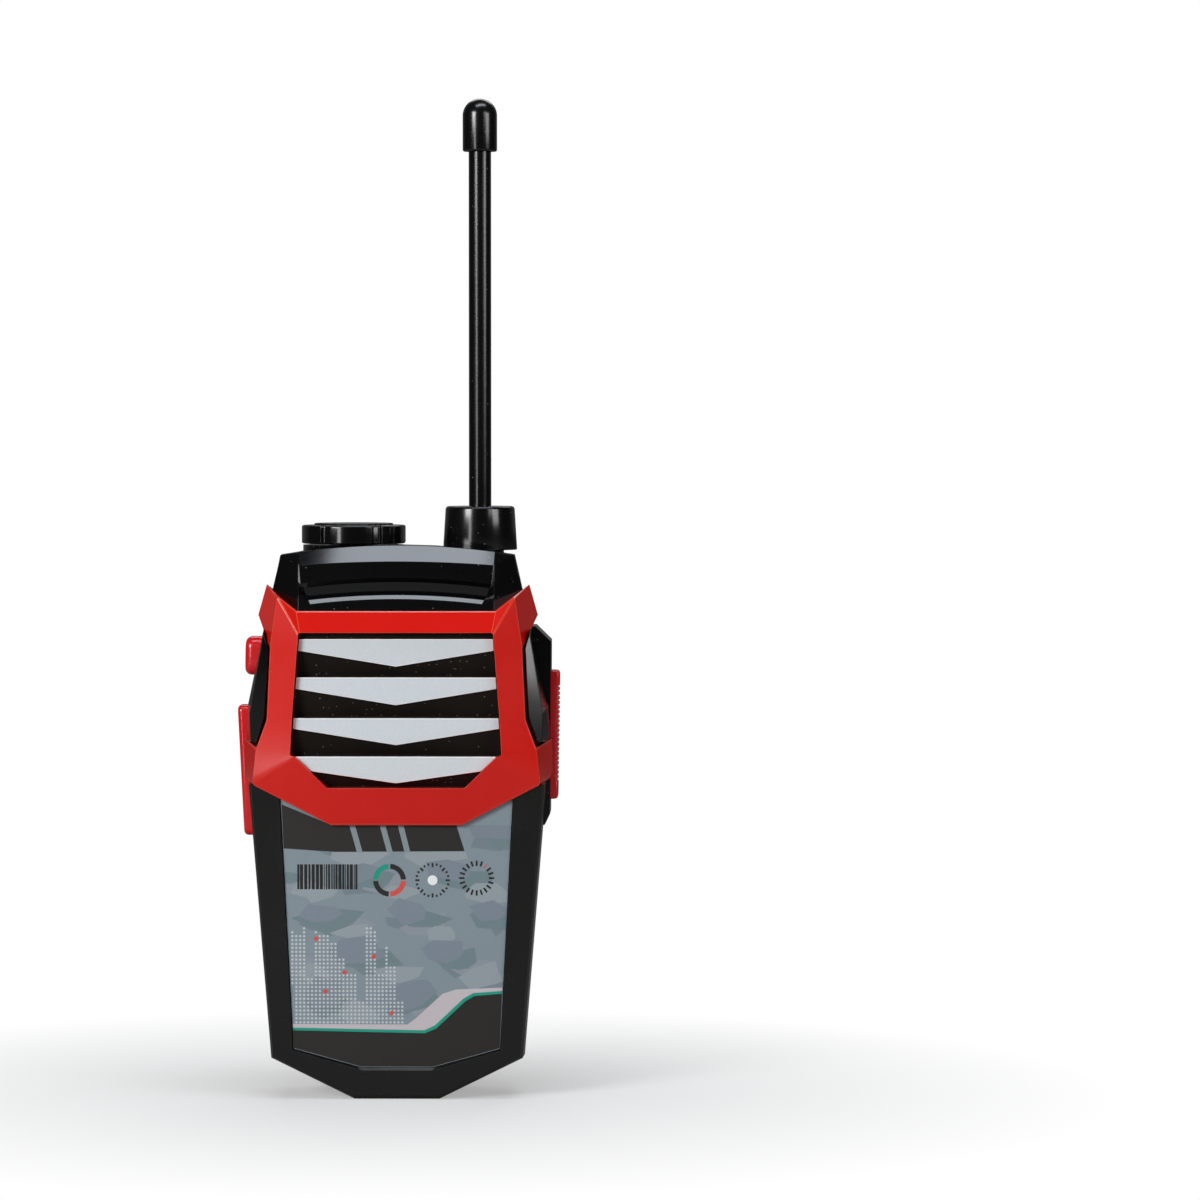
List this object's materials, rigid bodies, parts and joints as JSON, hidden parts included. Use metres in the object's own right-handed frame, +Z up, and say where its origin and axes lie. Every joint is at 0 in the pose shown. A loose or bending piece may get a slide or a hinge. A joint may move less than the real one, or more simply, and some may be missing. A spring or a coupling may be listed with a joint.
{
  "type": "toy walkie talkie",
  "caption": "Toy walkie talkie handset with a louvred speaker grille, side keys, a volume knob, a flexible antenna and a belt clip.",
  "frame": {"origin": "middle of the flat foot that the handset stands on, on the line of its centre", "axes": "+X to the handset's right as its front is looked at, +Y out of its back, +Z up towards the antenna tip"},
  "size_m": [0.0761, 0.0434, 0.2345],
  "materials": {
    "black_abs": "glossy moulded ABS",
    "red_abs": "satin moulded ABS",
    "silver_facing": "silver foil facing with a fine grain",
    "label_print": "printed semi-gloss label",
    "soft_black": "smooth flexible PVC",
    "grille_cloth": "woven black dust cloth",
    "steel": "zinc plated",
    "brass": "turned",
    "magnet": "ferrite",
    "cone_paper": "pressed paper cone",
    "board": "solder mask",
    "black_plastic": "moulded",
    "battery_jacket": "printed jacket",
    "red_lead": "PVC insulation",
    "black_lead": "PVC insulation"
  },
  "bodies": {
    "handset": {"front_case": "black_abs", "trim_bezel": "red_abs", "louvre_panel": "black_abs", "louvre_face_1": "silver_facing", "louvre_face_2": "silver_facing", "louvre_face_3": "silver_facing", "louvre_face_4": "silver_facing", "grille_cloth": "grille_cloth", "front_label": "label_print", "rear_case": "black_abs", "call_switch": "black_plastic", "morse_switch": "black_plastic", "talk_switch": "black_plastic", "volume_pot": "steel", "antenna_collar": "black_abs", "antenna_lead": "black_lead", "speaker_frame": "steel", "speaker_cone": "cone_paper", "speaker_magnet": "magnet", "speaker_screw_1": "steel", "speaker_screw_2": "steel", "speaker_screw_3": "steel", "circuit_board": "board", "radio_chip": "black_plastic", "tuning_coil": "steel", "crystal": "steel", "capacitor_1": "battery_jacket", "capacitor_2": "battery_jacket", "board_screw_1": "steel", "board_screw_2": "steel", "speaker_lead_a": "black_lead", "speaker_lead_b": "red_lead", "battery": "battery_jacket", "battery_snap": "black_plastic", "battery_lead_red": "red_lead", "battery_lead_black": "black_lead", "case_screw_1": "steel", "case_screw_2": "steel", "case_screw_3": "steel", "case_screw_4": "steel", "clip_pin": "steel", "clip_spring": "steel"},
    "call_button": {"call_button": "red_abs", "call_plunger": "black_plastic"},
    "morse_key": {"morse_key": "red_abs", "morse_plunger": "black_plastic"},
    "talk_key": {"talk_key": "red_abs", "talk_plunger": "black_plastic"},
    "volume_knob": {"volume_knob": "black_abs", "pot_shaft": "brass"},
    "antenna": {"antenna_rod": "soft_black", "antenna_core": "steel", "antenna_tip": "soft_black"},
    "battery_door": {"battery_door": "black_abs", "door_screw": "steel"},
    "belt_clip": {"belt_clip": "black_abs"}
  },
  "joints": [
    {"name": "call_button_press", "type": "slide", "parent": "handset", "child": "call_button", "axis": [1, 0, 0], "range_m": [0, 0.0012], "stiffness_N_per_m": 400},
    {"name": "morse_key_press", "type": "slide", "parent": "handset", "child": "morse_key", "axis": [1, 0, 0], "range_m": [0, 0.0012], "stiffness_N_per_m": 400},
    {"name": "talk_key_press", "type": "slide", "parent": "handset", "child": "talk_key", "axis": [-1, 0, 0], "range_m": [0, 0.0012], "stiffness_N_per_m": 400},
    {"name": "volume_knob_turn", "type": "hinge", "parent": "handset", "child": "volume_knob", "pos_m": [-0.011, 0.0045, 0.13], "axis": [0, 0, -1], "range_deg": [0, 270]},
    {"name": "antenna_flex", "type": "hinge", "parent": "handset", "child": "antenna", "pos_m": [0.0189, 0.005, 0.1375], "axis": [0, 1, 0], "range_deg": [-20, 20], "stiffness_Nm_per_rad": 0.3},
    {"name": "battery_door_open", "type": "hinge", "parent": "handset", "child": "battery_door", "pos_m": [0, 0.017, 0.0093], "axis": [-1, 0, 0], "range_deg": [0, 85]},
    {"name": "belt_clip_open", "type": "hinge", "parent": "handset", "child": "belt_clip", "pos_m": [0, 0.0199, 0.112], "axis": [1, 0, 0], "range_deg": [0, 20], "stiffness_Nm_per_rad": 0.2, "deforming": ["clip_spring"]}
  ]
}
